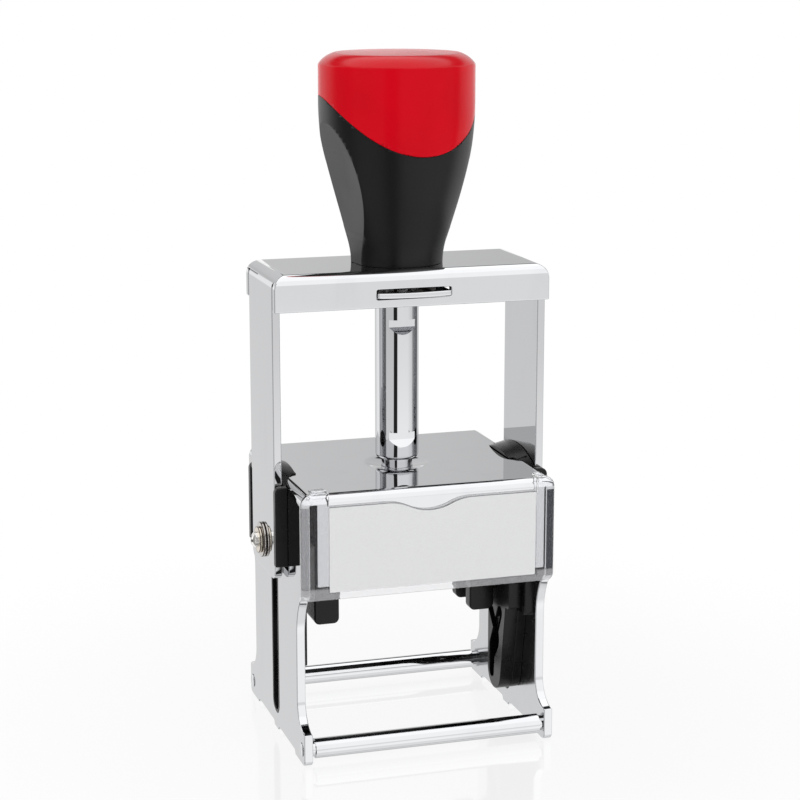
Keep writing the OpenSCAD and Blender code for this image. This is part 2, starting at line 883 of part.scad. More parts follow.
module pad_tray() {
    front = -box_front + frame_sheet + run_gap;
    color(black) difference() {
        union() {
            block([-tray_x, front, tray_top - tray_plate], [tray_x, box_rear, tray_top]);
            both_arms() block([pad_half_w + 0.4, front, ledge_z + run_gap], [tray_x, box_rear, tray_top]);
        }
        translate([0, box_rear + 5, tray_top - tray_plate - 1]) cylinder(r = 11, h = 20);
    }
}

module ink_pad() {
    color([0.12, 0.1, 0.2]) block([-pad_half_w, -pad_half_d, pad_face_z],
        [pad_half_w, pad_half_d, tray_top - tray_plate]);
}

base_frame();
front_cross_rod();
rear_cross_rod();
guide_column();
left_slide_guide();
right_slide_guide();
left_slot_liner();
flip_guide_plate();
flip_cam();
label_window();
label_card();
return_spring();
yoke();
column_bush();
handle_grip();
handle_cap();
spring_seat();
pivot_screws();
pivot_washers();
pivot_lock_washers();
pivot_bushes();
lock_latch();
die_carrier();
die_plate();
rubber_die();
flip_pin();
pad_tray();
ink_pad();
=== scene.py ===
import json
import math

import bmesh
import bpy
from mathutils.bvhtree import BVHTree
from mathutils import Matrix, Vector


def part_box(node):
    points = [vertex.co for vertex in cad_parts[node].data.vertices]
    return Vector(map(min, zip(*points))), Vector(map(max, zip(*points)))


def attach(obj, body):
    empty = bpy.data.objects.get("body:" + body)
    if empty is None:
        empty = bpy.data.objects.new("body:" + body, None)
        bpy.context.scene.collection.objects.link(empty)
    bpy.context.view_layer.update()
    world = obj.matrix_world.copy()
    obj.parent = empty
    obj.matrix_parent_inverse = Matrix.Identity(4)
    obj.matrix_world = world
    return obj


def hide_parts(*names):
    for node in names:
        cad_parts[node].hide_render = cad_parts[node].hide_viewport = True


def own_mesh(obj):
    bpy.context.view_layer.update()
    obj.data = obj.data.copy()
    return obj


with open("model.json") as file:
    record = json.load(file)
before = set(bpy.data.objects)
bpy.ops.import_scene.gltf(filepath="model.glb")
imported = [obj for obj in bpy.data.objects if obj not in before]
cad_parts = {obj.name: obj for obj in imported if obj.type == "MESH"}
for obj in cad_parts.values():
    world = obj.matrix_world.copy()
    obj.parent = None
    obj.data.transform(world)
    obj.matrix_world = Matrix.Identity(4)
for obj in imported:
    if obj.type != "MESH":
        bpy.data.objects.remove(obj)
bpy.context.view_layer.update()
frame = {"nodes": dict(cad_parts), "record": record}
nodes = frame["nodes"]
scene = bpy.context.scene
mm = 0.001
print("stamp: frame loaded,", len(nodes), "nodes")


class Wire:
    # a node's socket that can be used in Python sums

    def __init__(self, tree, socket):
        self.tree = tree
        self.socket = socket

    def make(self, kind, settings=None, inputs=None, out=0):
        # one node: settings first, then the values or links of its sockets
        made = self.tree.nodes.new(kind)
        for name, value in (settings or {}).items():
            setattr(made, name, value)
        for name, value in (inputs or {}).items():
            if isinstance(value, Wire):
                self.tree.links.new(value.socket, made.inputs[name])
            else:
                made.inputs[name].default_value = value
        return Wire(self.tree, made.outputs[out])

    def sum(self, operation, first, second):
        return self.make("ShaderNodeMath", {"operation": operation}, {0: first, 1: second})

    def __add__(self, other):
        return self.sum("ADD", self, other)

    def __radd__(self, other):
        return self.sum("ADD", other, self)

    def __sub__(self, other):
        return self.sum("SUBTRACT", self, other)

    def __rsub__(self, other):
        return self.sum("SUBTRACT", other, self)

    def __mul__(self, other):
        return self.sum("MULTIPLY", self, other)

    def __rmul__(self, other):
        return self.sum("MULTIPLY", other, self)

    def size(self):
        return self.make("ShaderNodeMath", {"operation": "ABSOLUTE"}, {0: self})

    def vector(self, operation, second=(0, 0, 0), out="Vector"):
        return self.make("ShaderNodeVectorMath", {"operation": operation},
                         {0: self, 1: second}, out)

    def axis(self, name):
        return self.make("ShaderNodeSeparateXYZ", {}, {0: self}, name)

    def span(self, low, high, toLow=0.0, toHigh=1.0):
        # a smooth run from one value to another while this one goes from low to high
        return self.make("ShaderNodeMapRange", {"interpolation_type": "SMOOTHSTEP"}, {
            "Value": self, "From Min": low, "From Max": high, "To Min": toLow, "To Max": toHigh})

    def rise(self, low, high):
        # 0 to 1 between two places in mm
        return self.span(low * mm, high * mm)

    def fall(self, low, high):
        # 1 to 0 between two places in mm
        return self.span(low * mm, high * mm, 1.0, 0.0)

    def tint(self, first, second):
        # this value picks between two colours
        return self.make("ShaderNodeMix", {"data_type": "RGBA"},
                         {"Factor": self, 6: first, 7: second}, 2)

    def noise(self, scale, detail=2.0, roughness=0.5):
        return self.make("ShaderNodeTexNoise", {}, {
            "Vector": self, "Scale": scale, "Detail": detail, "Roughness": roughness})

    def stretch(self, x, y, z):
        return self.make("ShaderNodeMapping", {}, {"Vector": self, "Scale": (x, y, z)})

    def bump(self, distance, strength=1.0):
        return self.make("ShaderNodeBump", {}, {
            "Height": self, "Distance": distance, "Strength": strength})


def newMaterial(name, **fixed):
    # a principled material, with its constant sockets set on the shader itself
    material = bpy.data.materials.new(name)
    material.use_nodes = True
    shader = material.node_tree.nodes["Principled BSDF"]
    for socket, value in fixed.items():
        shader.inputs[socket.replace("_", " ")].default_value = value
    place = material.node_tree.nodes.new("ShaderNodeTexCoord").outputs["Object"]
    return material, shader, Wire(material.node_tree, place)


def feed(shader, socket, wire):
    # links a socket, in place of an earlier link to it
    wire.tree.links.new(wire.socket, shader.inputs[socket])


# in the looks a noise is its scale, detail and roughness, a Range is where its clouds begin and
# are full, a Bump is its distance in m and its strength, and a place is from and to in mm
chromeLook = {
    "colour": (0.60, 0.605, 0.618, 1), "smear": (0.57, 0.576, 0.592, 1),
    "polish": 0.018, "dull": 0.05,
    "clouds": (95.0, 4.0, 0.6), "cloudStretch": (1, 1, 0.35), "cloudRange": (0.48, 0.78),
    "streaks": (620.0, 2.0, 0.5), "streakStretch": (1, 1, 0.08), "streakRange": (0.62, 0.8),
    "cloudShare": 0.75, "streakShare": 0.25,
    "waves": (60.0, 1.0), "waveBump": (0.00002, 0.2),
}


def platedSkin(name):
    # bright plating: wipe marks that stretch down the sheet, a few clearer streaks, and the slow
    # waviness of polished sheet
    look = chromeLook
    material, shader, place = newMaterial(name, Metallic=1.0)
    clouds = place.stretch(*look["cloudStretch"]).noise(*look["clouds"])
    streaks = place.stretch(*look["streakStretch"]).noise(*look["streaks"])
    haze = (clouds.span(*look["cloudRange"]) * look["cloudShare"]
            + streaks.span(*look["streakRange"]) * look["streakShare"])
    colour = haze.tint(look["colour"], look["smear"])
    rough = haze * (look["dull"] - look["polish"]) + look["polish"]
    feed(shader, "Base Color", colour)
    feed(shader, "Roughness", rough)
    feed(shader, "Normal", place.noise(*look["waves"]).bump(*look["waveBump"]))
    return {"material": material, "shader": shader, "place": place,
            "colour": colour, "rough": rough}


def makeChrome():
    return platedSkin("brightChrome")["material"]


frameLook = {
    "inside": (29.3, 29.6), "front": (-26.1, -25.8), "under": (63.2, 63.5), "insideRough": 0.14,
    "edgeLow": (41.0, 41.2), "middle": (-1.0, 1.0),
    # painted shade colours for the legs' edges under the clear moulding
    "rightEdgeShade": (0.035, 0.038, 0.046, 1), "leftEdgeShade": (0.30, 0.30, 0.31, 1),
}


def makeFrameChrome():
    # the frame's plating: polished outside, satin on the inner sides of the legs, and painted
    # shade on the legs' edges where the clear moulding covers them, the right one darkest
    skin = platedSkin("frameChrome")
    across, along, up = (skin["place"].axis(name) for name in "XYZ")
    within = across.size().fall(*frameLook["inside"])
    behind = along.rise(*frameLook["front"])
    below = up.fall(*frameLook["under"])
    satin = within * behind * below
    covered = up.rise(*frameLook["edgeLow"]) * below
    # painted shade: the legs' front edges under the clear moulding are coloured darker than the
    # plating
    edge = (1 - within) * (1 - behind) * covered
    right = across.rise(*frameLook["middle"])
    # the painted shade is grey on the left leg's edge and near black on the right one
    paintedShade = right.tint(frameLook["leftEdgeShade"], frameLook["rightEdgeShade"])
    feed(skin["shader"], "Base Color", edge.tint(skin["colour"], paintedShade))
    feed(skin["shader"], "Roughness", skin["rough"] + satin * frameLook["insideRough"])
    return skin["material"]


yokeLook = {
    "side": (33.8, 33.9), "front": (3.0, 3.1), "rear": (14.2, 14.3),
    # the near-black colour is painted shade inside the rear flange
    "low": (106.9, 107.0), "high": (114.0, 114.1), "paintedShade": (0.02, 0.02, 0.022, 1),
    "edge": (11.5, 11.6), "edgeTone": (0.52, 0.522, 0.53, 1),
}


def makeYokeChrome():
    # the yoke's plating: polished outside, painted shade inside its rear flange, and a little dull
    # on the arms' sheared edges
    skin = platedSkin("yokeChrome")
    across, along, up = (skin["place"].axis(name) for name in "XYZ")
    within = across.size().fall(*yokeLook["side"])
    between = along.rise(*yokeLook["front"]) * along.fall(*yokeLook["rear"])
    over = up.rise(*yokeLook["low"])
    under = up.fall(*yokeLook["high"])
    sheared = along.size().rise(*yokeLook["edge"]) * (1 - over)
    worked = sheared.tint(skin["colour"], yokeLook["edgeTone"])
    # painted shade: inside the rear flange, between the arms, the plating is coloured near black
    paintedShade = under * over * between * within
    feed(skin["shader"], "Base Color", paintedShade.tint(worked, yokeLook["paintedShade"]))
    return skin["material"]


steelLook = {
    "colour": (0.80, 0.79, 0.77, 1), "shade": (0.74, 0.73, 0.70, 1),
    "rough": 0.2, "roughSpread": 0.05,
    "mottle": (700.0, 3.0), "mottleRange": (0.35, 0.7),
    "skin": (1500.0, 2.0), "skinBump": (0.00001, 0.12),
}


def makePlatedSteel():
    # plated small parts: a warm cast and a faint tumbled skin
    material, shader, place = newMaterial("platedSteel", Metallic=1.0)
    mottle = place.noise(*steelLook["mottle"]).span(*steelLook["mottleRange"])
    feed(shader, "Base Color", mottle.tint(steelLook["colour"], steelLook["shade"]))
    feed(shader, "Roughness", mottle * steelLook["roughSpread"] + steelLook["rough"])
    feed(shader, "Normal", place.noise(*steelLook["skin"]).bump(*steelLook["skinBump"]))
    return material


ringLooks = {
    "nickel": {"node": "pivot_washers", "thick": 0.8, "face": (0.56, 0.53, 0.50, 1), "rough": 0.16},
    "zinc": {"node": "pivot_lock_washers", "thick": 0.7, "face": (0.74, 0.67, 0.57, 1),
             "rough": 0.24},
}
ringForm = {
    "joint": (0.028, 0.019, 0.015, 1), "rimDarkFrom": 0.06, "rimDarkTo": 0.26, "rimDarkRough": 0.1,
    "rimFrom": 0.2, "rimTo": 0.05,
    "bloom": (500.0, 2.0), "bloomRange": (0.35, 0.75), "bloomShade": 0.9, "bloomRough": 0.06,
}


def makeRing(name):
    # a plated ring on the pivot, darker and rougher in the joints at both sides of its rim
    look = ringLooks[name]
    low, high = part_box(look["node"])
    radius = (high[2] - low[2]) / 2
    material, shader, place = newMaterial(name + "Ring", Metallic=1.0)
    spoke = place.vector("SUBTRACT", (0, 0, low[2] + radius)).vector("MULTIPLY", (0, 1, 1))
    distance = spoke.vector("LENGTH", out="Value")
    rim = distance.span(radius - ringForm["rimFrom"] * mm, radius - ringForm["rimTo"] * mm)
    offset = (place.axis("X").size() - (high[0] - look["thick"] * mm / 2)).size()
    rimDarkening = rim * offset.rise(ringForm["rimDarkFrom"], ringForm["rimDarkTo"])
    bloom = place.noise(*ringForm["bloom"]).span(*ringForm["bloomRange"])
    dull = tuple(ringForm["bloomShade"] * part for part in look["face"][:3]) + (1,)
    feed(shader, "Base Color", rimDarkening.tint(bloom.tint(look["face"], dull), ringForm["joint"]))
    ringRoughness = bloom * ringForm["bloomRough"] + rimDarkening * ringForm["rimDarkRough"]
    feed(shader, "Roughness", ringRoughness + look["rough"])
    return material


wireLook = {
    "colour": (0.42, 0.42, 0.43, 1), "shade": (0.3, 0.3, 0.31, 1),
    "rough": 0.3, "roughSpread": 0.15,
    "lines": (1800.0, 2.0), "lineRange": (0.3, 0.7),
}


def makeSpringWire():
    # drawn spring wire, a little uneven
    material, shader, place = newMaterial("drawnWire", Metallic=1.0)
    lines = place.noise(*wireLook["lines"]).span(*wireLook["lineRange"])
    feed(shader, "Base Color", lines.tint(wireLook["colour"], wireLook["shade"]))
    feed(shader, "Roughness", lines * wireLook["roughSpread"] + wireLook["rough"])
    return material


bronzeLook = {
    "colour": (0.06, 0.045, 0.026, 1), "tarnish": (0.03, 0.023, 0.015, 1),
    "rough": 0.3, "roughSpread": 0.2,
    "clouds": (240.0, 3.0), "cloudRange": (0.45, 0.75),
    "rings": (5200.0, 1.0), "ringStretch": (0.02, 0.02, 1), "ringBump": (0.00003, 0.4),
}


def makeBronze():
    # oiled bronze bush: rings of the lathe tool along its axis
    material, shader, place = newMaterial("turnedBronze", Metallic=1.0)
    rings = place.stretch(*bronzeLook["ringStretch"]).noise(*bronzeLook["rings"])
    tarnish = place.noise(*bronzeLook["clouds"]).span(*bronzeLook["cloudRange"])
    feed(shader, "Base Color", tarnish.tint(bronzeLook["colour"], bronzeLook["tarnish"]))
    feed(shader, "Roughness", tarnish * bronzeLook["roughSpread"] + bronzeLook["rough"])
    feed(shader, "Normal", rings.bump(*bronzeLook["ringBump"]))
    return material


mouldingLook = {
    "colour": (0.004, 0.0038, 0.004, 1), "bloom": (0.0065, 0.006, 0.0064, 1),
    "rough": 0.24, "roughSpread": 0.12,
    "flow": (120.0, 3.0, 0.6), "flowRange": (0.35, 0.75),
    "skin": (5200.0, 2.0), "skinBump": (0.00002, 0.35),
}


def makeMoulding():
    # black moulded plastic, half gloss, with a fine skin and faint flow clouds
    material, shader, place = newMaterial("blackMoulding", IOR=1.3)
    flow = place.noise(*mouldingLook["flow"]).span(*mouldingLook["flowRange"])
    feed(shader, "Base Color", flow.tint(mouldingLook["colour"], mouldingLook["bloom"]))
    feed(shader, "Roughness", flow * mouldingLook["roughSpread"] + mouldingLook["rough"])
    feed(shader, "Normal", place.noise(*mouldingLook["skin"]).bump(*mouldingLook["skinBump"]))
    return material


gripLook = {
    "colour": (0.0026, 0.0025, 0.0026, 1), "bloom": (0.0042, 0.004, 0.0041, 1),
    "rough": 0.36, "wornGloss": 0.06,
    "worn": (60.0, 2.0), "wornRange": (0.4, 0.72),
    "texture": (4200.0, 3.0, 0.6), "textureBump": (0.00003, 0.4),
}


def makeGrip():
    # satin black of the grip: even spark-eroded texture, slightly worn smooth in patches
    material, shader, place = newMaterial("satinGrip", IOR=1.3)
    worn = place.noise(*gripLook["worn"]).span(*gripLook["wornRange"])
    feed(shader, "Base Color", worn.tint(gripLook["colour"], gripLook["bloom"]))
    feed(shader, "Roughness", gripLook["rough"] - worn * gripLook["wornGloss"])
    feed(shader, "Normal", place.noise(*gripLook["texture"]).bump(*gripLook["textureBump"]))
    return material


capLook = {
    "colour": (0.66, 0.0012, 0.010, 1), "deep": (0.61, 0.001, 0.009, 1),
    "rough": 0.17, "roughSpread": 0.05,
    "clouds": (75.0, 2.0), "cloudRange": (0.3, 0.7),
    "disc": (165.7, 166.0), "discRough": 0.06, "shoulder": (163.1, 163.5), "polish": 0.5,
    "peel": (620.0, 2.0), "peelBump": (0.00004, 0.12),
}


def makeCap():
    # red moulded cap: the slight orange peel of a thick moulding, polished from its shoulder up,
    # with a duller disc on top
    material, shader, place = newMaterial("redCap", IOR=1.16, Coat_IOR=1.4, Coat_Roughness=0.22)
    cloud = place.noise(*capLook["clouds"]).span(*capLook["cloudRange"])
    up = place.axis("Z")
    disc = up.rise(*capLook["disc"]) * capLook["discRough"]
    feed(shader, "Base Color", cloud.tint(capLook["colour"], capLook["deep"]))
    feed(shader, "Roughness", cloud * capLook["roughSpread"] + disc + capLook["rough"])
    feed(shader, "Coat Weight", up.rise(*capLook["shoulder"]) * capLook["polish"])
    feed(shader, "Normal", place.noise(*capLook["peel"]).bump(*capLook["peelBump"]))
    return material


clearLook = {
    "colour": (0.985, 0.988, 0.995, 1), "shine": (0.4, 0.4, 0.42, 1),
    "rough": 0.02, "hazeRough": 0.05, "haze": (160.0, 3.0, 0.6), "hazeRange": (0.5, 0.8),
    "frost": (0.72, 0.72, 0.74, 1), "frostShare": 0.22, "sill": (42.3, 42.7), "ends": (43.3, 43.9),
    "cardLeft": (-25.0, -24.8), "cardRight": (26.8, 27.0),
}


def makeClear():
    # polished clear moulding with a trace of handling haze, frosted along its lower sill, and
    # higher up beside the card
    material, shader, place = newMaterial(
        "clearMoulding", IOR=1.49, Transmission_Weight=1.0,
        Base_Color=clearLook["colour"], Specular_Tint=clearLook["shine"])
    haze = place.noise(*clearLook["haze"]).span(*clearLook["hazeRange"])
    feed(shader, "Roughness", haze * clearLook["hazeRough"] + clearLook["rough"])
    across, up = place.axis("X"), place.axis("Z")
    beside = across.fall(*clearLook["cardLeft"]) + across.rise(*clearLook["cardRight"])
    sill = up.fall(*clearLook["sill"])
    frosted = sill.sum("MAXIMUM", sill, beside * up.fall(*clearLook["ends"]))
    frost = place.make("ShaderNodeBsdfDiffuse", {}, {"Color": clearLook["frost"]})
    mixed = place.make("ShaderNodeMixShader", {}, {
        0: frosted * clearLook["frostShare"], 1: Wire(place.tree, shader.outputs[0]), 2: frost})
    feed(place.tree.nodes["Material Output"], "Surface", mixed)
    return material


cardLook = {
    "colour": (0.80, 0.80, 0.80, 1), "fibreTone": (0.76, 0.76, 0.755, 1),
    "rough": 0.5, "roughSpread": 0.2,
    "fibres": (1500.0, 4.0, 0.65), "fibreStretch": (1, 1, 3), "fibreRange": (0.4, 0.7),
    "fibreBump": (0.00002, 0.3),
}


def makeCard():
    # smooth white card with short fibres in its surface
    material, shader, place = newMaterial("whiteCard", IOR=1.4)
    fibre = place.stretch(*cardLook["fibreStretch"]).noise(*cardLook["fibres"])
    tone = fibre.span(*cardLook["fibreRange"])
    feed(shader, "Base Color", tone.tint(cardLook["colour"], cardLook["fibreTone"]))
    feed(shader, "Roughness", fibre * cardLook["roughSpread"] + cardLook["rough"])
    feed(shader, "Normal", fibre.bump(*cardLook["fibreBump"]))
    return material


rubberLook = {
    "colour": (0.20, 0.045, 0.035, 1), "inked": (0.05, 0.02, 0.03, 1),
    "rough": 0.75, "inkGloss": 0.25,
    "stain": (130.0, 4.0, 0.65), "stainRange": (0.42, 0.66),
    "skin": (3000.0, 2.0), "skinBump": (0.00003, 0.4),
}


def makeRubber():
    # die rubber, stained by ink in clouds
    material, shader, place = newMaterial("dieRubber", IOR=1.45)
    stain = place.noise(*rubberLook["stain"]).span(*rubberLook["stainRange"])
    feed(shader, "Base Color", stain.tint(rubberLook["colour"], rubberLook["inked"]))
    feed(shader, "Roughness", rubberLook["rough"] - stain * rubberLook["inkGloss"])
    feed(shader, "Normal", place.noise(*rubberLook["skin"]).bump(*rubberLook["skinBump"]))
    return material


feltLook = {
    "colour": (0.018, 0.014, 0.04, 1), "fibreTone": (0.05, 0.045, 0.09, 1),
    "rough": 0.95, "wetGloss": 0.35,
    "fibres": (2400.0, 5.0, 0.7), "fibreRange": (0.4, 0.7), "fibreBump": (0.0002, 0.8),
    "wet": (90.0, 2.0), "wetRange": (0.45, 0.65),
}


def makeFelt():
    # inked felt: matted fibres, wet where the ink stands
    material, shader, place = newMaterial("padFelt", IOR=1.4)
    fibre = place.noise(*feltLook["fibres"])
    tone = fibre.span(*feltLook["fibreRange"])
    wet = place.noise(*feltLook["wet"]).span(*feltLook["wetRange"])
    feed(shader, "Base Color", tone.tint(feltLook["colour"], feltLook["fibreTone"]))
    feed(shader, "Roughness", feltLook["rough"] - wet * feltLook["wetGloss"])
    feed(shader, "Normal", fibre.bump(*feltLook["fibreBump"]))
    return material


looks = {
    "chrome": makeChrome(), "frame": makeFrameChrome(), "yoke": makeYokeChrome(),
    "steel": makePlatedSteel(), "nickel": makeRing("nickel"), "zinc": makeRing("zinc"),
    "spring": makeSpringWire(), "bronze": makeBronze(), "moulding": makeMoulding(),
    "grip": makeGrip(), "cap": makeCap(), "clear": makeClear(), "card": makeCard(),
    "rubber": makeRubber(), "felt": makeFelt(),
}
nodeLooks = {
    "chrome": ["front_cross_rod", "rear_cross_rod", "guide_column", "lock_latch"],
    "frame": ["base_frame"], "yoke": ["yoke"], "steel": ["pivot_screws", "flip_pin"],
    "nickel": ["pivot_washers"], "zinc": ["pivot_lock_washers"], "spring": ["return_spring"],
    "bronze": ["column_bush"],
    "moulding": ["left_slide_guide", "right_slide_guide", "left_slot_liner", "flip_guide_plate",
                 "flip_cam", "spring_seat", "pivot_bushes", "die_carrier", "die_plate", "pad_tray"],
    "grip": ["handle_grip"], "cap": ["handle_cap"], "clear": ["label_window"],
    "card": ["label_card"], "rubber": ["rubber_die"], "felt": ["ink_pad"],
}
for look, names in nodeLooks.items():
    for name in names:
        nodes[name].data.materials.clear()
        nodes[name].data.materials.append(looks[look])
print("stamp: materials on", sum(len(names) for names in nodeLooks.values()), "nodes")

bodies = frame["record"]["behaviour"]["bodies"]
bodyOf = {name: body for body, names in bodies.items() for name in names}


def asPlainMesh(piece):
    # the evaluated result as an ordinary mesh, with no modifier left on the piece
    bpy.context.view_layer.update()
    graph = bpy.context.evaluated_depsgraph_get()
    result = bpy.data.meshes.new_from_object(piece.evaluated_get(graph))
    piece.modifiers.clear()
    piece.data = result
    return piece


def carry(piece, *names):
    # the piece stands for these nodes and moves with their body
    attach(piece, bodyOf[names[0]])
    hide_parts(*names)


edgeBreaks = {  # bevel width in mm and its segments
    "base_frame": (0.28, 3), "yoke": (0.28, 3), "handle_grip": (0.18, 3), "handle_cap": (0.2, 3),
    "label_window": (0.35, 3), "left_slide_guide": (0.25, 3), "right_slide_guide": (0.25, 3),
    "left_slot_liner": (0.25, 2), "flip_guide_plate": (0.3, 3), "flip_cam": (0.16, 3),
    "die_carrier": (0.4, 3), "die_plate": (0.2, 2), "lock_latch": (0.25, 3),
    "pivot_washers": (0.15, 3), "pad_tray": (0.4, 2),
}
edgeForm = {  # angles in degrees, merge in mm, stray as a share of the width
    "angle": 32.0, "flat": 0.05, "merge": 0.004, "stray": 0.5, "normalWeight": 50,
}
sharpDepth = {  # from and to in Y, mm: the card's pocket is too thin for broken edges
    "label_window": (-26.7, -26.35),
}


def mergedCopy(name, label):
    # the node's shape as one joined mesh, with its flat faces whole and its normals left to Blender
    piece = bpy.data.objects.new(label, nodes[name].data.copy())
    scene.collection.objects.link(piece)
    if "custom_normal" in piece.data.attributes:
        piece.data.attributes.remove(piece.data.attributes["custom_normal"])
    shape = bmesh.new()
    shape.from_mesh(piece.data)
    bmesh.ops.remove_doubles(shape, verts=shape.verts, dist=edgeForm["merge"] * mm)
    bmesh.ops.dissolve_limit(shape, angle_limit=math.radians(edgeForm["flat"]),
                             verts=shape.verts, edges=shape.edges)
    for face in shape.faces:
        face.smooth = True
    for edge in shape.edges:
        edge.smooth = True
    shape.to_mesh(piece.data)
    skin = BVHTree.FromBMesh(shape)
    shape.free()
    return piece, skin


def pullStrays(piece, skin, reach):
    # a broken edge lies close to the old surface, so points that shot past a corner go back to it
    shape = bmesh.new()
    shape.from_mesh(piece.data)
    for vert in shape.verts:
        spot, *_, gap = skin.find_nearest(vert.co)
        if gap > reach:
            vert.co = spot
    shape.to_mesh(piece.data)
    shape.free()


def markEdges(piece, name):
    # gives the bevel every edge that turns enough, apart from those in the piece's thin places
    first, last = sharpDepth.get(name, (0, 0))
    shape = bmesh.new()
    shape.from_mesh(piece.data)
    marks = shape.edges.layers.float.new("bevel_weight_edge")
    for edge in shape.edges:
        depth = (edge.verts[0].co.y + edge.verts[1].co.y) / 2
        thin = first * mm < depth < last * mm
        turned = edge.is_manifold and edge.calc_face_angle() > math.radians(edgeForm["angle"])
        edge[marks] = 1.0 if turned and not thin else 0.0
    shape.to_mesh(piece.data)
    shape.free()


def breakEdges(name):
    # the node's own shape with its edges broken as the real piece has them
    width, segments = edgeBreaks[name]
    piece, skin = mergedCopy(name, name + "Finished")
    markEdges(piece, name)
    bevel = piece.modifiers.new("edges", "BEVEL")
    bevel.width = width * mm
    bevel.segments = segments
    bevel.limit_method = "WEIGHT"
    bevel.miter_outer = "MITER_ARC"
    bevel.use_clamp_overlap = False
    asPlainMesh(piece)
    pullStrays(piece, skin, edgeForm["stray"] * width * mm)
    smooth = piece.modifiers.new("normals", "WEIGHTED_NORMAL")
    smooth.mode = "FACE_AREA"
    smooth.weight = edgeForm["normalWeight"]
    asPlainMesh(piece)
    carry(piece, name)
    return piece


finished = {name: breakEdges(name) for name in edgeBreaks}
finished["label_window"].visible_diffuse = False  # the card is lit as through clear plastic
finished["label_window"].visible_shadow = False
print("stamp: edges broken on", len(edgeBreaks), "pieces")


def nodeTree(name, sizes):
    # an empty tree with a named input for each size
    tree = bpy.data.node_groups.new(name, "GeometryNodeTree")
    sockets = {}
    for label, value in sizes.items():
        kind = "NodeSocketInt" if isinstance(value, int) else "NodeSocketFloat"
        made = tree.interface.new_socket(label, in_out="INPUT", socket_type=kind)
        sockets[label] = made.identifier
    tree.interface.new_socket("Geometry", in_out="OUTPUT", socket_type="NodeSocketGeometry")
    given = tree.nodes.new("NodeGroupInput")
    return tree, sockets, {label: Wire(tree, given.outputs[label]) for label in sizes}


def grow(name, tree, sockets, sizes, wire, look):
    # ends the tree, runs it with the sizes and leaves a plain mesh
    real = wire.make("GeometryNodeRealizeInstances", {}, {0: wire})
    smooth = wire.make("GeometryNodeSetShadeSmooth", {}, {0: real})
    painted = wire.make("GeometryNodeSetMaterial", {}, {
        "Geometry": smooth, "Material": looks[look]})
    last = tree.nodes.new("NodeGroupOutput")
    tree.links.new(painted.socket, last.inputs[0])
    piece = bpy.data.objects.new(name, bpy.data.meshes.new(name))
    scene.collection.objects.link(piece)
    modifier = piece.modifiers.new(name, "NODES")
    modifier.node_group = tree
    for label, value in sizes.items():
        modifier[sockets[label]] = value
    return asPlainMesh(piece)


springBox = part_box("return_spring")
coilWire = 0.45 * mm
coilSizes = {
    "Turns": 24.0, "Coil radius": 2.55 * mm, "Wire radius": coilWire, "Steps": 36, "Sides": 14,
    "Low": springBox[0][2] + coilWire, "Rise": springBox[1][2] - springBox[0][2] - 2 * coilWire,
}


def makeCoil():
    # the return spring as one round wire along a helix
    tree, sockets, size = nodeTree("coil", coilSizes)
    start = size["Turns"]
    helix = start.make("GeometryNodeCurveSpiral", {}, {
        "Resolution": size["Steps"], "Rotations": size["Turns"], "Height": size["Rise"],
        "Start Radius": size["Coil radius"], "End Radius": size["Coil radius"]})
    lift = start.make("ShaderNodeCombineXYZ", {}, {"Z": size["Low"]})
    raised = start.make("GeometryNodeTransform", {}, {"Geometry": helix, "Translation": lift})
    section = start.make("GeometryNodeCurvePrimitiveCircle", {"mode": "RADIUS"}, {
        "Resolution": size["Sides"], "Radius": size["Wire radius"]})
    wire = start.make("GeometryNodeCurveToMesh", {}, {
        "Curve": raised, "Profile Curve": section, "Fill Caps": True})
    coil = grow("springCoil", tree, sockets, coilSizes, wire, "spring")
    carry(coil, "return_spring")
    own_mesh(coil)


frontRod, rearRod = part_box("front_cross_rod"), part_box("rear_cross_rod")
rivetSink = 0.1 * mm
rivetSizes = {
    "Span": frontRod[1][0] - frontRod[0][0] - 2 * rivetSink, "Depth": rearRod[1][1] + rearRod[0][1],
    "Height": (frontRod[0][2] + frontRod[1][2]) / 2, "Head radius": 1.75 * mm, "Flatness": 0.2,
    "Segments": 40, "Rings": 20,
}


def makeRivets():
    # the four peened rivet heads on the outer sides of the feet
    tree, sockets, size = nodeTree("rivets", rivetSizes)
    start = size["Span"]
    corners = start.make("GeometryNodeMeshGrid", {}, {
        "Size X": size["Span"], "Size Y": size["Depth"], "Vertices X": 2, "Vertices Y": 2})
    lift = start.make("ShaderNodeCombineXYZ", {}, {"Z": size["Height"]})
    raised = start.make("GeometryNodeTransform", {}, {"Geometry": corners, "Translation": lift})
    ball = start.make("GeometryNodeMeshUVSphere", {}, {
        "Segments": size["Segments"], "Rings": size["Rings"], "Radius": size["Head radius"]})
    squeeze = start.make("ShaderNodeCombineXYZ", {}, {"X": size["Flatness"], "Y": 1.0, "Z": 1.0})
    head = start.make("GeometryNodeTransform", {}, {"Geometry": ball, "Scale": squeeze})
    heads = start.make("GeometryNodeInstanceOnPoints", {}, {"Points": raised, "Instance": head})
    rivets = grow("rivetHeads", tree, sockets, rivetSizes, heads, "chrome")
    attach(rivets, bodyOf["front_cross_rod"])


padForm = {"across": 56, "deep": 42, "crown": 0.32, "crownPower": 6, "drawIn": 0.25}


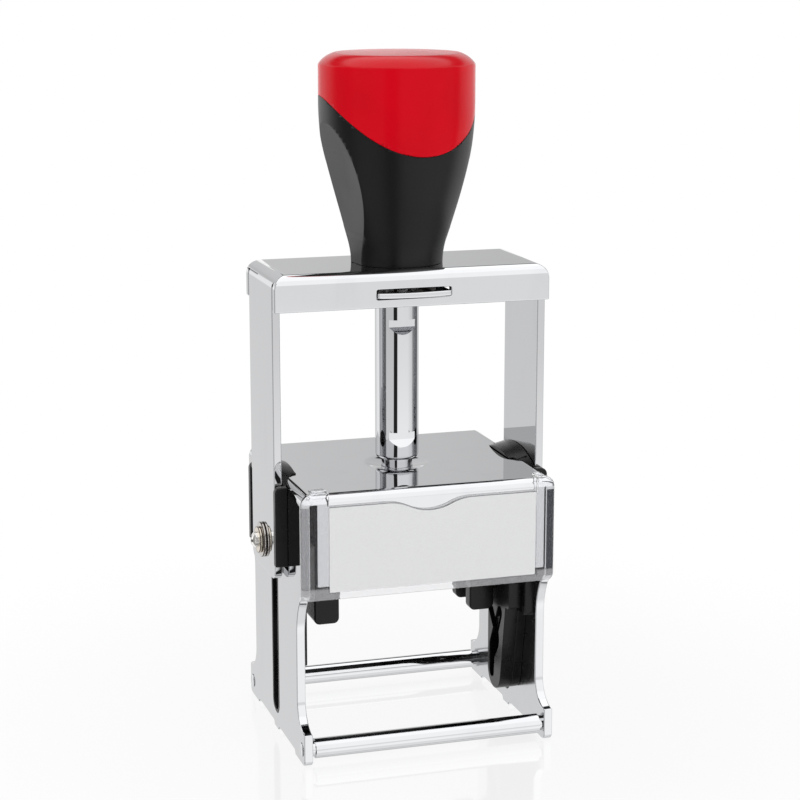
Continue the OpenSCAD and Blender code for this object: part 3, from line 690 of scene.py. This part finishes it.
def makePad():
    # felt pad: its inked face swells a little between edges that draw in
    low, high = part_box("ink_pad")
    across, deep, power = padForm["across"], padForm["deep"], padForm["crownPower"]
    points, faces = [], []
    for level in (0, 1):
        draw = 1 - (1 - level) * padForm["drawIn"] * mm / high[0]
        for j in range(deep + 1):
            for i in range(across + 1):
                u, v = 2 * i / across - 1, 2 * j / deep - 1
                edge = 1 - (1 - u ** power) * (1 - v ** power)
                x = (low[0] + high[0]) / 2 + u * draw * (high[0] - low[0]) / 2
                y = (low[1] + high[1]) / 2 + v * draw * (high[1] - low[1]) / 2
                z = high[2] if level else low[2] + padForm["crown"] * mm * edge
                points.append((x, y, z))
    step = across + 1
    layer = step * (deep + 1)
    for j in range(deep):
        for i in range(across):
            a = j * step + i
            faces.append((a, a + step, a + step + 1, a + 1))
            faces.append((layer + a, layer + a + 1, layer + a + step + 1, layer + a + step))
    rim = list(range(step)) + [j * step + across for j in range(1, deep + 1)]
    rim += [deep * step + i for i in range(across - 1, -1, -1)]
    rim += [j * step for j in range(deep - 1, 0, -1)]
    for a, b in zip(rim, rim[1:] + rim[:1]):
        faces.append((a, b, layer + b, layer + a))
    mesh = bpy.data.meshes.new("feltPad")
    mesh.from_pydata(points, [], faces)
    mesh.materials.append(looks["felt"])
    pad = bpy.data.objects.new("feltPad", mesh)
    scene.collection.objects.link(pad)
    carry(pad, "ink_pad")


makeCoil()
makeRivets()
makePad()
print("stamp: spring, rivets and pad made")

cameraView = {
    "place": (-0.150017, -0.491891, 0.194752), "pitch": 12.414, "turn": -17.049,
    "lens": 96.5, "sensor": 36, "clip": 0.01,
}


def makeCamera():
    # the photograph's own viewpoint
    camera = bpy.data.objects.new("photoCamera", bpy.data.cameras.new("photoCamera"))
    scene.collection.objects.link(camera)
    camera.location = cameraView["place"]
    tilt, turn = math.radians(90 - cameraView["pitch"]), math.radians(cameraView["turn"])
    camera.rotation_euler = (tilt, 0, turn)
    camera.data.sensor_width = cameraView["sensor"]
    camera.data.lens = cameraView["lens"]
    camera.data.clip_start = cameraView["clip"]
    scene.camera = camera


floorLook = {
    "half": 1.6, "drop": 0.0001, "colour": (0.93, 0.93, 0.93, 1), "white": (1, 1, 1, 1),
    "shadow": 0.06, "mirror": 0.12, "mirrorRough": 0.06, "near": (50.0, 170.0),
}


def makeFloor():
    # white acrylic sheet: faint mirror image and a soft shadow under the part, white further out
    sheet = bpy.data.meshes.new("floor")
    half = floorLook["half"]
    corners = [(-half, -half, 0), (half, -half, 0), (half, half, 0), (-half, half, 0)]
    sheet.from_pydata(corners, [], [(0, 1, 2, 3)])
    floor = bpy.data.objects.new("floor", sheet)
    floor.location.z = -floorLook["drop"]
    floor.visible_glossy = False  # what shines mirrors the table that the studio light describes
    scene.collection.objects.link(floor)
    material, shader, place = newMaterial("whiteAcrylic", Base_Color=floorLook["colour"], IOR=1.4,
                                          Roughness=0.4)
    near = place.vector("LENGTH", out="Value").fall(*floorLook["near"])
    lit = Wire(place.tree, shader.outputs[0])
    glow = place.make("ShaderNodeEmission", {}, {"Color": floorLook["white"], "Strength": 1.0})
    mirror = place.make("ShaderNodeBsdfGlossy", {}, {
        "Color": floorLook["white"], "Roughness": floorLook["mirrorRough"]})

    def mix(share, first, second):
        return place.make("ShaderNodeMixShader", {}, {0: share, 1: first, 2: second})

    sheen = mix(near * floorLook["mirror"], glow, mirror)
    shaded = mix(near * floorLook["shadow"], sheen, lit)
    camera = place.make("ShaderNodeLightPath", out="Is Camera Ray")
    through = place.make("ShaderNodeLightPath", out="Is Transmission Ray")
    seen = camera.sum("MAXIMUM", camera, through)
    feed(place.tree.nodes["Material Output"], "Surface", mix(seen, lit, shaded))
    sheet.materials.append(material)


studio = {  # brightness against elevation, and a share of it round the part from the camera's side
    "front": [(-45, 1.15), (-32, 1.45), (-15, 1.37), (-10, 1.12), (-4, 1.12), (3, 1.45), (42, 1.45),
              (50, 1.6)],
    "back": [(-20, 0.86), (-8, 0.82), (-4, 1.1), (3, 1.1), (6, 0.68), (8, 0.67), (15, 0.75),
             (27, 0.76), (30, 0.03), (42, 0.03), (48, 1.7)],
    "around": [(-180, 0.97), (-175, 1.03), (-142, 1.03), (-130, 1.45), (-112, 1.45), (-98, 0.24),
               (-72, 0.24), (-62, 0.72), (-18, 0.72), (-15, 0.02), (1, 0.02), (5, 1.0), (58, 1.0),
               (84, 0.85), (97, 0.25), (101, 0.25), (109, 1.5), (130, 1.4), (142, 0.95),
               (176, 0.91), (180, 0.97)],
    "turn": -17.0, "frontTo": 100.0, "backFrom": 116.0, "roofFrom": 42.0, "roofTo": 48.0,
}


def makeLight():
    # an even white studio; what shines mirrors its table, walls, gaps and the light box overhead
    world = bpy.data.worlds.new("studio")
    scene.world = world
    world.use_nodes = True
    world.cycles.sampling_method = "NONE"
    tree = world.node_tree
    back = tree.nodes["Background"]
    way = Wire(tree, tree.nodes.new("ShaderNodeTexCoord").outputs["Generated"])
    turn = math.radians(studio["turn"])

    def between(wire, low, high, *ends):
        return wire.span(math.radians(low), math.radians(high), *ends)

    def through(wire, stops):
        # a smooth run through the stops, from the lowest up
        total = stops[0][1]
        for (low, first), (high, second) in zip(stops, stops[1:]):
            if first != second:
                total = total + between(wire, low, high, 0.0, second - first)
        return total

    side = way.vector("DOT_PRODUCT", (math.cos(turn), math.sin(turn), 0), out="Value")
    front = way.vector("DOT_PRODUCT", (math.sin(turn), -math.cos(turn), 0), out="Value")
    bearing = way.sum("ARCTAN2", side, front)
    rise = way.make("ShaderNodeMath", {"operation": "ARCSINE"}, {0: way.axis("Z")})
    ahead = between(bearing.size(), studio["frontTo"], studio["backFrom"], 1.0, 0.0)
    roof = between(rise, studio["roofFrom"], studio["roofTo"])
    share = through(bearing, studio["around"]) * (1 - roof) + roof
    walls = ahead * through(rise, studio["front"]) + (1 - ahead) * through(rise, studio["back"])
    shiny = way.make("ShaderNodeLightPath", out="Is Glossy Ray")
    feed(back, "Strength", 1 - shiny + shiny * (share * walls))
    back.inputs["Color"].default_value = (1, 1, 1, 1)


makeCamera()
makeFloor()
makeLight()
scene.view_settings.view_transform = "Standard"
print("stamp: camera, floor and light set")
